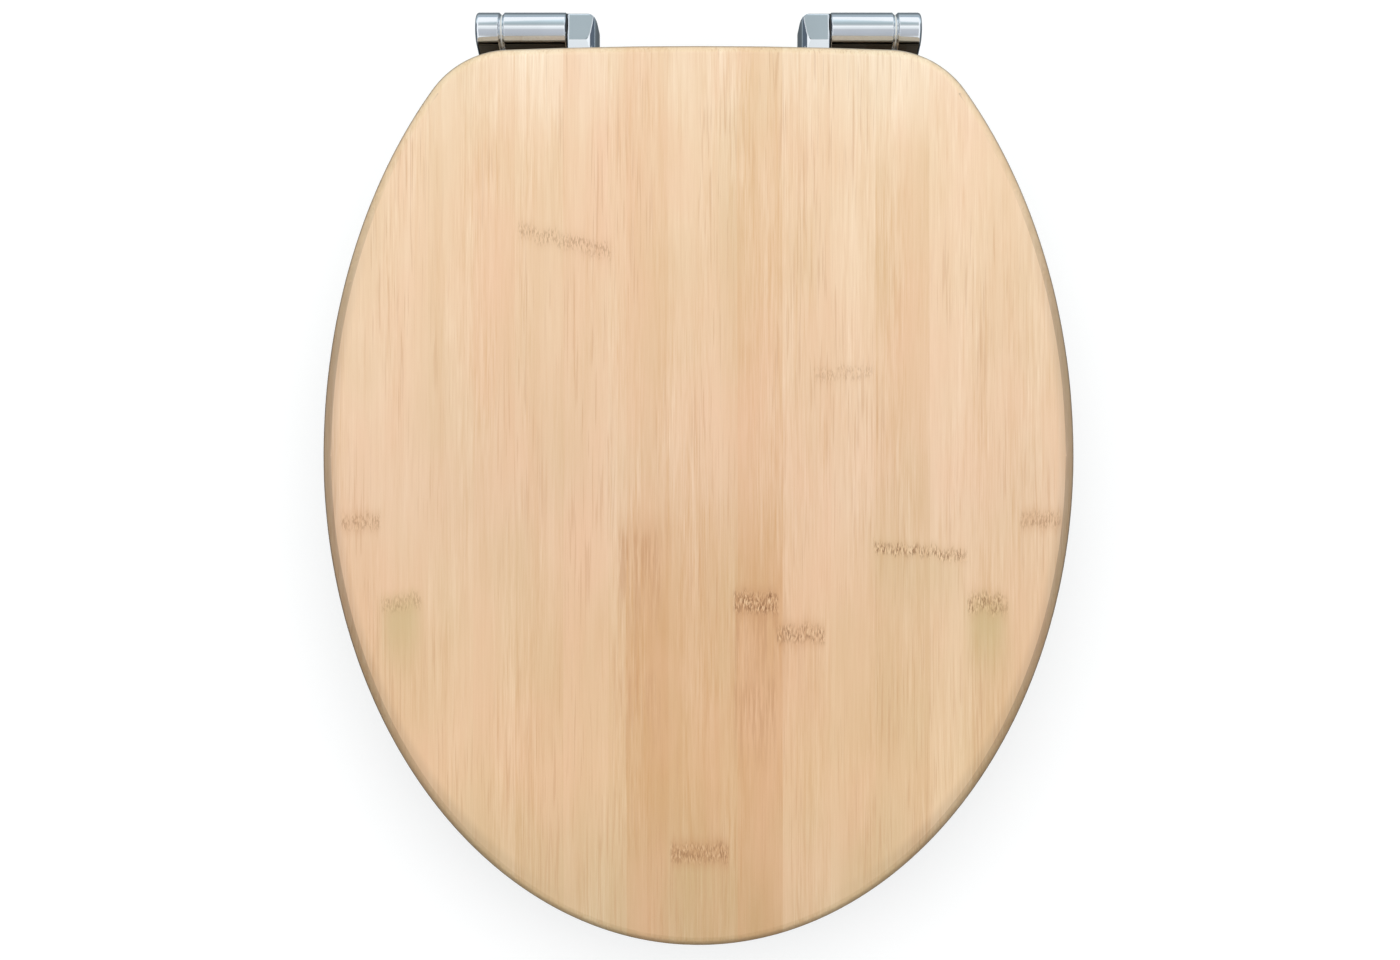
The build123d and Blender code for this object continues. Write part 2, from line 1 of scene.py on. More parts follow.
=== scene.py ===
import bpy
import math
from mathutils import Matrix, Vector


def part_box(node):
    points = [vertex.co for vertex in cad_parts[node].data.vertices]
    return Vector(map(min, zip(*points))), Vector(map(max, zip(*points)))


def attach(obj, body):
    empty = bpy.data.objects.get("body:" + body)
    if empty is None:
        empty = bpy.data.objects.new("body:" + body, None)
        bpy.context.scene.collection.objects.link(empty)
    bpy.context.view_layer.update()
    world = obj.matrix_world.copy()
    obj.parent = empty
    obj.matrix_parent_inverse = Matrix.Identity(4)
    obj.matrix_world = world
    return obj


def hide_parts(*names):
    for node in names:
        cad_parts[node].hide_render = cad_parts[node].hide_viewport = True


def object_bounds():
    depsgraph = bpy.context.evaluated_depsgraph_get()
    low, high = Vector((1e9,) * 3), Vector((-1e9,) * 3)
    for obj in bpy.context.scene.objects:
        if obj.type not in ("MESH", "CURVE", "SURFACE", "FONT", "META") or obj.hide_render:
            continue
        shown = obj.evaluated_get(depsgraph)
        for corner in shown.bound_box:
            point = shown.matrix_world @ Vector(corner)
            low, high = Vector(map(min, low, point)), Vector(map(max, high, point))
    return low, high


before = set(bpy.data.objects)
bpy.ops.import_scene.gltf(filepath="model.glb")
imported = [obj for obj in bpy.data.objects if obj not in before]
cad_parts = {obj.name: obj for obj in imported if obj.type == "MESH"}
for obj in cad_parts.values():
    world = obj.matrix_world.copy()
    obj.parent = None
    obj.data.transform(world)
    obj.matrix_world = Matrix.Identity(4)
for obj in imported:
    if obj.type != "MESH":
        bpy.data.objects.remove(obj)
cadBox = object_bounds()
mm = 0.001  # the scene is in metres, and sizes below are written in millimetres
print("frame loaded:", len(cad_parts), "nodes")


# Shader helpers

def srgb(red, green, blue):
    # A screen colour, 0 to 255, as the linear colour that a socket takes
    def linear(value):
        value = value / 255
        return value / 12.92 if value <= 0.04045 else ((value + 0.055) / 1.055) ** 2.4
    return (linear(red), linear(green), linear(blue), 1.0)


class Sheet:
    # One node tree, with a short call for each kind of node that the finishes use

    def __init__(self, tree):
        self.tree = tree

    def add(self, kind, **settings):
        node = self.tree.nodes.new(kind)
        for name, value in settings.items():
            setattr(node, name, value)
        return node

    def plug(self, socket, value):
        if isinstance(value, bpy.types.NodeSocket):
            self.tree.links.new(value, socket)
        elif value is not None:
            socket.default_value = value

    def math(self, operation, first, second=None, third=None):
        node = self.add("ShaderNodeMath", operation=operation)
        for socket, value in zip(node.inputs, (first, second, third)):
            self.plug(socket, value)
        return node.outputs[0]

    def times(self, first, second):
        return self.math("MULTIPLY", first, second)

    def plus(self, first, second):
        return self.math("ADD", first, second)

    def minus(self, first, second):
        return self.math("SUBTRACT", first, second)

    def scaleAdd(self, value, factor, extra):
        return self.math("MULTIPLY_ADD", value, factor, extra)

    def span(self, value, low, high, start=0.0, end=1.0, smooth=True):
        # value from low..high to start..end, held at both ends
        node = self.add("ShaderNodeMapRange")
        node.interpolation_type = "SMOOTHSTEP" if smooth else "LINEAR"
        for socket, number in zip(node.inputs[:5], (value, low, high, start, end)):
            self.plug(socket, number)
        return node.outputs[0]

    def vector(self, x, y, z=0.0):
        node = self.add("ShaderNodeCombineXYZ")
        for socket, value in zip(node.inputs, (x, y, z)):
            self.plug(socket, value)
        return node.outputs[0]

    def split(self, vector):
        node = self.add("ShaderNodeSeparateXYZ")
        self.plug(node.inputs[0], vector)
        return node.outputs

    def stretch(self, vector, scale, shift):
        node = self.add("ShaderNodeMapping")
        self.plug(node.inputs["Vector"], vector)
        node.inputs["Scale"].default_value = scale
        node.inputs["Location"].default_value = shift
        return node.outputs[0]

    def noise(self, vector, scale, detail, roughness):
        node = self.add("ShaderNodeTexNoise")
        self.plug(node.inputs["Vector"], vector)
        node.inputs["Scale"].default_value = scale
        node.inputs["Detail"].default_value = detail
        node.inputs["Roughness"].default_value = roughness
        return node.outputs["Fac"]

    def layer(self, vector, scale, shift, detail, roughness):
        # Noise with a scale of its own along each axis
        return self.noise(self.stretch(vector, scale, shift), 1.0, detail, roughness)

    def chance(self, value):
        # A fixed random number, 0 to 1, for each whole value
        node = self.add("ShaderNodeTexWhiteNoise", noise_dimensions="1D")
        self.plug(node.inputs["W"], value)
        return node.outputs["Value"]

    def blend(self, amount, first, second, mode="MIX"):
        node = self.add("ShaderNodeMix", data_type="RGBA", blend_type=mode)
        for index, value in zip((0, 6, 7), (amount, first, second)):  # this node's sockets for colours
            self.plug(node.inputs[index], value)
        return node.outputs[2]

    def filter(self, colour, factor):
        # A colour times a colour
        return self.blend(1.0, colour, factor, "MULTIPLY")

    def ramp(self, value, stops, interpolation="LINEAR"):
        # stops are (place, colour), from 0 to 1
        node = self.add("ShaderNodeValToRGB")
        self.plug(node.inputs[0], value)
        band = node.color_ramp
        band.interpolation = interpolation
        while len(band.elements) < len(stops):
            band.elements.new(1.0)
        for element, (place, colour) in zip(band.elements, stops):
            element.position = place
            element.color = colour
        return node.outputs["Color"]

    def bump(self, height, strength, distance, normal=None):
        node = self.add("ShaderNodeBump")
        node.inputs["Strength"].default_value = strength
        node.inputs["Distance"].default_value = distance
        self.plug(node.inputs["Height"], height)
        self.plug(node.inputs["Normal"], normal)
        return node.outputs["Normal"]


def newFinish(name):
    material = bpy.data.materials.new(name)
    material.use_nodes = True
    shader = material.node_tree.nodes["Principled BSDF"]
    return material, Sheet(material.node_tree), shader


def objectPlace(sheet):
    # Places on the piece itself, in millimetres of the shared frame
    place = sheet.add("ShaderNodeTexCoord").outputs["Object"]
    scaled = sheet.add("ShaderNodeVectorMath", operation="SCALE")
    sheet.plug(scaled.inputs[0], place)
    scaled.inputs["Scale"].default_value = 1 / mm
    return scaled.outputs[0]


# Bamboo. x runs across the strips and y along them, from the hinges to the front

bamboo = {
    "baseByLength": [  # distance from the fixing studs towards the front, and the mean colour there, which holds the wood's tone and painted light, lighter near the hinges
        (10, (241, 212, 179)),
        (60, (234, 200, 163)),
        (130, (230, 194, 157)),
        (230, (224, 187, 152)),
        (300, (219, 180, 140)),
        (370, (219, 180, 138)),
        (450, (205, 174, 134)),
    ],
    "toneStep": 0.15,  # how much lighter one step of a strip's tone is
    "depth": (0.55, 1.0, 1.6),  # darker wood is also more saturated
    "grain": (0.18, 0.22, 0.37),  # broad, middle and fine fibres
    "patches": 0.17,
    "vessels": 0.30,
    "warmth": 0.35,  # how much a strip's own warmth counts
    "hueChange": 1.2,  # and how much the hue changes from place to place
    "oliveShare": 0.6,
    "dark": (190, 140, 98),
    "tick": (132, 88, 48),
    "tint": (192, 142, 98),
    "pink": (238, 190, 158),
    "olive": (196, 172, 122),
    "cream": (250, 218, 176),
    "roughness": 0.46,
    "roughnessChange": 0.5,
    "coat": 0.22,
    "coatRoughness": 0.24,
    "bumpStrength": 0.22,
    "bumpDistance": 0.0002,
}

lidStrips = [  # left edge, then the tone near the hinges, behind and in front of the middle, and the warmth
    (-190, 0.2, 0.2, 0.2, 0.1),
    (-155, 0.3, 0.36, 0.25, 0.1),
    (-134, 0.2, 0.15, 0.65, -0.1),
    (-112, 0.3, -0.15, 0.4, 0.2),
    (-91, 0.75, 0.05, 0.0, 0.0),
    (-67, 0.1, 0.0, 0.3, 0.4),
    (-46, -0.3, 0.1, 0.0, 0.1),
    (-37, -0.6, -0.45, -1.2, 0.3),
    (-15, -0.1, -0.08, -0.75, 0.2),
    (10, -0.2, 0.0, -0.65, -0.1),
    (18.5, -0.65, -0.7, -1.35, 0.3),
    (40.3, 0.0, 0.0, 0.0, 0.3),
    (64, 0.55, 0.4, 0.3, 0.1),
    (87.2, 0.75, -0.25, 0.3, -0.2),
    (113.4, 0.5, 0.4, 1.0, 0.1),
    (134.6, 0.3, 0.15, 0.25, 0.0),
    (154, 0.3, 0.3, 0.4, -0.1),
    (168, 0.2, 0.1, 0.3, 0.1),
]

lidNodes = [  # each growth ring's mark: x, y, width, slant, half height, then ticks, tint, streaks and stain
    (-66, -105.6, 46, -0.25, 5.5, 0.42, 0.22, 0.05, 0.10),
    (72, -171, 30, 0.05, 5.0, 0.30, 0.15, 0.00, 0.00),
    (-167, -244.5, 20, 0.05, 5.5, 0.45, 0.45, 0.05, 0.10),
    (169, -243.5, 20, 0.00, 5.5, 0.50, 0.50, 0.10, 0.10),
    (-147, -284.5, 20, 0.05, 5.5, 0.35, 0.20, 0.00, 1.30),
    (-29, -250, 22, 0.00, 9.0, 0.00, 0.25, 0.90, 0.00),
    (-29, -320, 22, 0.00, 9.0, 0.00, 0.00, 0.50, 0.00),
    (28, -325, 21, 0.00, 9.0, 0.00, 0.00, 0.90, 0.00),
    (109.7, -259, 46, -0.10, 4.0, 0.85, 0.25, 0.15, 0.45),
    (28.5, -284.4, 22, -0.04, 7.0, 1.00, 1.00, 0.90, 0.00),
    (50.6, -299.8, 24, -0.05, 6.0, 0.75, 0.65, 0.30, 0.00),
    (143, -285, 20, -0.04, 7.0, 0.70, 0.40, 0.10, 1.40),
    (0.7, -408, 29, -0.02, 6.5, 0.65, 1.00, 0.35, 0.50),
]

toneRange = 3.0  # the strips' numbers are within half of it, either side of none

lidGrain = {
    "rearEnd": (-85.0, -25.0),  # where the tone near the hinges takes over, in y
    "frontEnd": (-215.0, -285.0),  # and the tone in front
    "frontEndSpread": 130.0,
    "wander": 1.5,  # how far a strip's edge strays from straight
    "marksAbove": (3.5, 6.5),  # the marks are those of the upper face: heights above the underside
}

paintedBorderShade = {  # a soft painted shade inside the rounded edge
    "front": 243.2,  # the half lengths of the lid's outline, from its widest line
    "rear": 258.5,
    "inner": 0.946,  # where it starts and is full, in shares of the outline
    "outer": 0.974,
    "light": 0.82,
    "frontFade": (-0.93, -0.75),  # it fades out towards the front and rear edges
    "rearFade": (0.50, 0.15),
}

ringGrain = {  # the plain strips of the ring
    "pitch": 21.5,
    "markStep": 238.0,
    "markTall": 5.0,
    "markSlant": 0.03,
    "markShares": (0.35, 0.45, 0.30, 0.20),  # ticks, tint, streaks, stain
    "tone": (1.2, -0.6),  # spread and lowest
    "warmth": (0.8, -0.3),
    "warmthSeed": 31.7,
    "markSeed": 77.1,
}

fibreNoise = {  # scales across, along and through the board, then shift, detail and roughness
    "broad": ((0.13, 0.004, 0.13), (0, 0, 0), 2.0, 0.5),
    "middle": ((0.50, 0.014, 0.50), (31, 7, 3), 2.0, 0.55),
    "fine": ((1.55, 0.045, 1.55), (11, 5, 17), 2.0, 0.6),
    "streaky": ((0.055, 0.006, 0.055), (23, 3, 61), 2.0, 0.55),
    "seeds": ((1.2, 0.028, 1.2), (3, 41, 9), 1.0, 0.4),
    "clusters": ((0.06, 0.012, 0.06), (13, 1, 29), 1.0, 0.4),
    "patch": ((0.040, 0.011, 0.04), (2, 9, 5), 2.0, 0.5),
    "hue": ((0.033, 0.013, 0.04), (51, 19, 5), 2.0, 0.5),
}

fibreSpans = {
    "lively": (0.36, 0.64, 0.40, 1.45),  # fibres are faint in one place and plain in another
    "vessels": (0.56, 0.70),
    "vesselClusters": (0.42, 0.60, 0.10, 1.0),
}

edgeNoise = {  # the same numbers, for how the strips' edges and ends stray
    "wander": ((0.0, 0.006, 0.0), (0, 0, 0), 1.0, 0.5),
    "uneven": ((0.25, 0.0, 0.0), (6, 0, 0), 3.0, 0.7),
}


def newGroup(name, inputs, outputs):
    # A node group that takes a place and these numbers, and gives these numbers
    tree = bpy.data.node_groups.new(name, "ShaderNodeTree")
    tree.interface.new_socket("Place", in_out="INPUT", socket_type="NodeSocketVector")
    for direction, names in (("INPUT", inputs), ("OUTPUT", outputs)):
        for socketName in names:
            tree.interface.new_socket(socketName, in_out=direction, socket_type="NodeSocketFloat")
    sheet = Sheet(tree)
    return tree, sheet, sheet.add("NodeGroupInput").outputs, sheet.add("NodeGroupOutput").inputs


def fibreGroup():
    # Fine fibres along y: how much lighter or darker they are, the dark vessels among them, and their height
    tree, sheet, given, out = newGroup("bambooFibres", (), ("Light", "Vessels", "Height", "Patch", "Hue"))
    noises = {name: sheet.layer(given["Place"], *numbers) for name, numbers in fibreNoise.items()}
    broadShare, *fineShares = bamboo["grain"]
    light = 0.0
    for name, share in zip(("middle", "fine"), fineShares):
        light = sheet.scaleAdd(sheet.minus(noises[name], 0.5), share, light)
    light = sheet.times(light, sheet.span(noises["streaky"], *fibreSpans["lively"]))
    light = sheet.scaleAdd(sheet.minus(noises["broad"], 0.5), broadShare, light)
    clusters = sheet.span(noises["clusters"], *fibreSpans["vesselClusters"])
    vessels = sheet.times(sheet.span(noises["seeds"], *fibreSpans["vessels"]), clusters)
    sheet.plug(out["Light"], light)
    sheet.plug(out["Vessels"], vessels)
    sheet.plug(out["Height"], sheet.minus(sheet.scaleAdd(noises["middle"], 0.5, noises["fine"]), vessels))
    sheet.plug(out["Patch"], sheet.minus(noises["patch"], 0.5))
    sheet.plug(out["Hue"], sheet.minus(noises["hue"], 0.5))
    return tree


markNoise = {  # as for the fibres
    "wave": ((0.16, 0.0, 0.0), (0, 0, 0), 2.0, 0.6),
    "ragged": ((0.8, 0.0, 0.0), (0, 0, 0), 1.0, 0.5),
    "ticks": ((1.45, 0.28, 0.2), (5, 2, 8), 2.0, 0.7),
    "clumps": ((0.30, 0.22, 0.2), (1, 12, 4), 1.0, 0.5),
    "runs": ((0.62, 0.024, 0.3), (9, 4, 1), 3.0, 0.7),
}

markShape = {
    "sides": (1.0, -1.5),  # how far outside its sides it starts, and where it is full
    "stainSides": (5.0, -7.0),
    "wave": 11.0,  # how far the band wanders, and its edge from fibre to fibre
    "ragged": 4.0,
    "band": (1.0, 0.25),  # in shares of its half height: its edge, and where it is full
    "tint": (1.7, 0.2),
    "clumps": (0.34, 0.60, 0.45, 1.0),
    "darkTicks": (0.49, 0.56),
    "paleTicks": (0.46, 0.39),
    "streaks": (0.44, 0.60),
    "streakEnds": ((-6.0, 4.0), (62.0, 6.0)),  # distances towards the front
    "stainEnds": ((-9.0, 3.0), (46.0, 6.0)),
}

markPaint = [  # what each part of a mark is painted with, and how strongly, from the lowest up
    ("Stain", "olive", 0.50),
    ("Streak", "dark", 0.65),
    ("Tint", "tint", 0.60),
    ("Pale", "cream", 0.50),
    ("Dark", "tick", 0.90),
]


def nodeMarkGroup():
    # One growth ring's mark: a band of short ticks on a tint, with streaks and a stain towards the front
    tree, sheet, given, out = newGroup(
        "bambooNodeMark", ("X", "Y", "Width", "Slant", "Tall"), ("Dark", "Pale", "Tint", "Streak", "Stain"))
    shape = markShape
    noises = {name: sheet.layer(given["Place"], *numbers) for name, numbers in markNoise.items()}
    x, y = sheet.split(given["Place"])[:2]
    across = sheet.minus(x, given["X"])
    along = sheet.minus(sheet.scaleAdd(across, given["Slant"], given["Y"]), y)
    along = sheet.scaleAdd(sheet.minus(noises["wave"], 0.5), shape["wave"], along)
    ragged = sheet.scaleAdd(noises["ragged"], shape["ragged"], -shape["ragged"] / 2)
    away = sheet.math("DIVIDE", sheet.math("ABSOLUTE", sheet.plus(along, ragged)), given["Tall"])
    half = sheet.times(given["Width"], 0.5)

    def withinSides(start, full):
        return sheet.span(sheet.math("ABSOLUTE", across), sheet.plus(half, start), sheet.plus(half, full))

    def between(start, end):
        return sheet.times(sheet.span(along, *start), sheet.span(along, *end))

    band = sheet.times(sheet.span(away, *shape["band"]), sheet.span(noises["clumps"], *shape["clumps"]))
    values = {
        "Dark": sheet.times(band, sheet.span(noises["ticks"], *shape["darkTicks"])),
        "Pale": sheet.times(band, sheet.span(noises["ticks"], *shape["paleTicks"])),
        "Tint": sheet.span(away, *shape["tint"]),
        "Streak": sheet.times(between(*shape["streakEnds"]), sheet.span(noises["runs"], *shape["streaks"])),
        "Stain": between(*shape["stainEnds"]),
    }
    inside, softInside = withinSides(*shape["sides"]), withinSides(*shape["stainSides"])
    for name, value in values.items():
        sheet.plug(out[name], sheet.times(value, softInside if name == "Stain" else inside))
    return tree


def useGroup(sheet, tree, **values):
    node = sheet.add("ShaderNodeGroup", node_tree=tree)
    for name, value in values.items():
        sheet.plug(node.inputs[name], value)
    return node.outputs


def stripTones(sheet, x):
    # The four numbers of lidStrips at x, each moved to 0..1 for the colour ramp and back
    low, high = lidStrips[0][0], -lidStrips[0][0]
    stops = [
        ((edge - low) / (high - low), tuple(number / toneRange + 0.5 for number in numbers))
        for edge, *numbers in lidStrips
    ]
    colour = sheet.ramp(sheet.span(x, low, high, smooth=False), stops, "CONSTANT")
    parts = sheet.add("ShaderNodeSeparateColor")
    sheet.plug(parts.inputs[0], colour)
    outputs = list(parts.outputs) + [colour.node.outputs["Alpha"]]
    return [sheet.scaleAdd(output, toneRange, -toneRange / 2) for output in outputs]


def paintLength(sheet, y):
    # The board's mean colour, lighter near the hinges: partly the wood's own tone and partly painted light,
    # for the sheen and brighter light towards the rear
    first, last = bamboo["baseByLength"][0][0], bamboo["baseByLength"][-1][0]
    stops = [((reach - first) / (last - first), srgb(*colour)) for reach, colour in bamboo["baseByLength"]]
    return sheet.ramp(sheet.span(y, -first, -last, smooth=False), stops)


def deepen(sheet, colour, light):
    # Lightens or darkens wood, with more effect on blue than on red
    parts = [sheet.scaleAdd(light, share, 1.0) for share in bamboo["depth"]]
    return sheet.filter(colour, sheet.vector(*parts))


def addMark(sheet, colour, mark, ticks, tint, streak, stain):
    shares = {"Stain": stain, "Streak": streak, "Tint": tint, "Pale": ticks, "Dark": ticks}
    for part, paint, strength in markPaint:
        colour = sheet.blend(sheet.times(mark[part], shares[part] * strength), colour, srgb(*bamboo[paint]))
    return colour


paintedRimShade = {  # painted shade on the rounded edge: how far the normal leans outwards, and what is left of the light there
    "side": [
        (0.0, 1.0), (0.04, 0.80), (0.15, 0.67), (0.28, 0.64), (0.50, 0.69), (0.65, 0.73), (0.76, 0.66),
        (0.87, 0.46), (0.96, 0.36), (0.99, 0.44), (1.0, 0.85),
    ],
    "front": [(0.0, 1.0), (0.30, 0.93), (0.50, 0.72), (0.85, 0.66), (0.96, 0.42), (0.99, 0.50), (1.0, 0.85)],
    "rear": [(0.0, 1.0), (0.64, 0.98), (0.78, 0.72), (0.90, 0.50), (0.97, 0.50), (1.0, 1.0)],
    "tint": (0.985, 1.0, 0.95, 1.0),
    "tintStart": (0.05, 0.35),  # the painted shade's tint is on the roundings, not on the level or upright faces
    "tintEnd": (0.97, 1.0),
    "rearBlend": (0.15, 0.54),  # how far the edge faces the rear, from the side's shade to the rear's
    "frontBlend": (-0.22, -0.88),  # and the same from the side's to the front's
}


def applyPaintedRimShade(sheet, colour):
    # Painted shade: the rounded edge is darker, most of all at the sides, where less light reaches it
    nx, ny = sheet.split(sheet.add("ShaderNodeTexCoord").outputs["Normal"])[:2]
    lean = sheet.math("SQRT", sheet.scaleAdd(nx, nx, sheet.times(ny, ny)))
    facing = sheet.math("DIVIDE", ny, sheet.math("MAXIMUM", lean, 0.001))
    left = {}
    for part in ("side", "front", "rear"):
        left[part] = sheet.ramp(lean, [(place, (light, light, light, 1.0)) for place, light in paintedRimShade[part]])
    light = sheet.blend(sheet.span(facing, *paintedRimShade["frontBlend"]), left["side"], left["front"])
    light = sheet.blend(sheet.span(facing, *paintedRimShade["rearBlend"]), light, left["rear"])
    onRounding = sheet.minus(sheet.span(lean, *paintedRimShade["tintStart"]), sheet.span(lean, *paintedRimShade["tintEnd"]))
    light = sheet.blend(onRounding, light, sheet.filter(light, paintedRimShade["tint"]))
    return sheet.filter(colour, light)


def finishWood(sheet, shader, colour, grain):
    roughness = sheet.scaleAdd(grain["Light"], bamboo["roughnessChange"], bamboo["roughness"])
    bump = sheet.bump(grain["Height"], bamboo["bumpStrength"], bamboo["bumpDistance"])
    # the base colour carries the painted shade of the rounded edge
    sheet.plug(shader.inputs["Base Color"], applyPaintedRimShade(sheet, colour))
    sheet.plug(shader.inputs["Roughness"], roughness)
    sheet.plug(shader.inputs["Normal"], bump)
    shader.inputs["Coat Weight"].default_value = bamboo["coat"]
    shader.inputs["Coat Roughness"].default_value = bamboo["coatRoughness"]


def shadeStrips(sheet, colour, tone, warm, grain):
    # Strip tone, fibres and soft patches on the mean colour
    light = sheet.scaleAdd(tone, bamboo["toneStep"], grain["Light"])
    light = sheet.scaleAdd(grain["Patch"], bamboo["patches"], light)
    colour = deepen(sheet, colour, light)
    hue = sheet.scaleAdd(warm, bamboo["warmth"], sheet.times(grain["Hue"], bamboo["hueChange"]))
    pinkAmount = sheet.math("MAXIMUM", hue, 0.0)
    oliveAmount = sheet.times(sheet.math("MAXIMUM", sheet.times(hue, -1.0), 0.0), bamboo["oliveShare"])
    colour = sheet.blend(pinkAmount, colour, srgb(*bamboo["pink"]))
    colour = sheet.blend(oliveAmount, colour, srgb(*bamboo["olive"]))
    return sheet.blend(sheet.times(grain["Vessels"], bamboo["vessels"]), colour, srgb(*bamboo["dark"]))


def paintBorderShade(sheet, colour, x, y):
    # Painted shade in a band just inside the outline at the sides. The outline is two half ellipses that
    # meet at its widest line
    low, high = [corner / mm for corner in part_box("lid")]
    front, rear, light = paintedBorderShade["front"], paintedBorderShade["rear"], paintedBorderShade["light"]
    along = sheet.minus(y, low.y + front)
    reach = sheet.scaleAdd(sheet.math("GREATER_THAN", along, 0.0), rear - front, front)
    along = sheet.math("DIVIDE", along, reach)
    across = sheet.math("DIVIDE", x, high.x)
    out = sheet.math("SQRT", sheet.scaleAdd(along, along, sheet.times(across, across)))
    amount = sheet.span(out, paintedBorderShade["inner"], paintedBorderShade["outer"])
    amount = sheet.times(amount, sheet.span(along, *paintedBorderShade["frontFade"]))
    amount = sheet.times(amount, sheet.span(along, *paintedBorderShade["rearFade"]))
    return sheet.blend(amount, colour, sheet.filter(colour, (light, light, light, 1.0)))


def makeLidBamboo(fibres, markTree):
    # The strips run through the board, and the marks are those of its upper face
    material, sheet, shader = newFinish("bambooLid")
    place = objectPlace(sheet)
    x, y, z = sheet.split(place)
    wander = sheet.minus(sheet.layer(place, *edgeNoise["wander"]), 0.5)
    uneven = sheet.minus(sheet.layer(place, *edgeNoise["uneven"]), 0.5)
    nearHinges, behind, inFront, warm = stripTones(sheet, sheet.scaleAdd(wander, lidGrain["wander"], x))
    atRear = sheet.span(y, *lidGrain["rearEnd"])
    atFront = sheet.span(sheet.scaleAdd(uneven, lidGrain["frontEndSpread"], y), *lidGrain["frontEnd"])
    tone = sheet.scaleAdd(atRear, sheet.minus(nearHinges, behind), behind)
    tone = sheet.scaleAdd(atFront, sheet.minus(inFront, tone), tone)
    grain = useGroup(sheet, fibres, Place=place)
    plain = shadeStrips(sheet, paintLength(sheet, y), tone, warm, grain)
    marked = plain
    for markX, markY, width, slant, tall, *shares in lidNodes:
        mark = useGroup(
            sheet, markTree, Place=place, X=float(markX), Y=float(markY), Width=float(width),
            Slant=slant, Tall=tall)
        marked = addMark(sheet, marked, mark, *shares)
    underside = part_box("lid")[0].z / mm
    upper = sheet.span(z, *[underside + height for height in lidGrain["marksAbove"]])
    colour = sheet.blend(upper, plain, marked)
    finishWood(sheet, shader, paintBorderShade(sheet, colour, x, y), grain)
    return material


def makeRingBamboo(fibres, markTree):
    # Plain strips of one width, each with growth rings at its own places
    material, sheet, shader = newFinish("bambooRing")
    pitch, markStep = ringGrain["pitch"], ringGrain["markStep"]
    place = objectPlace(sheet)
    x, y = sheet.split(place)[:2]
    count = sheet.math("FLOOR", sheet.math("DIVIDE", x, pitch))
    tone = sheet.scaleAdd(sheet.chance(count), *ringGrain["tone"])
    warm = sheet.scaleAdd(sheet.chance(sheet.plus(count, ringGrain["warmthSeed"])), *ringGrain["warmth"])
    grain = useGroup(sheet, fibres, Place=place)
    colour = shadeStrips(sheet, paintLength(sheet, y), tone, warm, grain)
    middle = sheet.times(sheet.plus(count, 0.5), pitch)
    shift = sheet.chance(sheet.plus(count, ringGrain["markSeed"]))
    turn = sheet.plus(sheet.math("DIVIDE", y, markStep), shift)
    nearest = sheet.minus(sheet.math("FLOOR", sheet.plus(turn, 0.5)), shift)
    mark = useGroup(
        sheet, markTree, Place=place, X=middle, Y=sheet.times(nearest, markStep), Width=pitch,
        Slant=ringGrain["markSlant"], Tall=ringGrain["markTall"])
    finishWood(sheet, shader, addMark(sheet, colour, mark, *ringGrain["markShares"]), grain)
    return material


def dress(names, material):
    # A carried-over node takes the finish in its own slots
    for name in names:
        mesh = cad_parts[name].data
        mesh.materials.clear()
        mesh.materials.append(material)


fibres = fibreGroup()
markTree = nodeMarkGroup()
dress(["lid"], makeLidBamboo(fibres, markTree))
dress(["seat_ring"], makeRingBamboo(fibres, markTree))
print("bamboo ready")


# Chrome, rubber, nylon and steel

chrome = {
    "colour": (0.80, 0.83, 0.86, 1.0),
    "palerShare": 0.96,  # the least of that colour, where it varies
    "roughness": 0.05,
    "roughnessChange": 0.3,
    "wipe": ((0.12, 0.30, 0.30), (0, 0, 0), 3.0, 0.6),  # as the layers of the bamboo
    "cloudScale": 0.06,
    "bumpStrength": 0.02,
    "bumpDistance": 0.0005,
    "edgeRadius": 0.7,  # how far the polish softens each edge
    "paintedGapReflection": (-0.70, -0.77, 1.0, 0.10),  # painted reflection: the barrels' forward leans are darkened for the dark gap before the lid mirrored there: leans, then shares
}

plainGrain = {
    "cloudScale": 0.22,
    "grainScale": 2.6,
    "roughnessChange": 0.15,
    "bumpDistance": 0.0001,
}

evenly = (0.3, 0.7)  # the span of a noise that fills 0..1

plainFinishes = {  # colour, how much it varies, roughness, metal, and the depth of its bump
    "paleRubber": {"colour": (208, 205, 198), "vary": 0.06, "roughness": 0.62, "metal": 0.0, "bump": 0.25},
    "blackNylon": {"colour": (26, 26, 27), "vary": 0.10, "roughness": 0.45, "metal": 0.0, "bump": 0.15},
    "whiteNylon": {"colour": (226, 226, 221), "vary": 0.03, "roughness": 0.38, "metal": 0.0, "bump": 0.10},
    "plainSteel": {"colour": (198, 198, 197), "vary": 0.06, "roughness": 0.30, "metal": 1.0, "bump": 0.12},
}


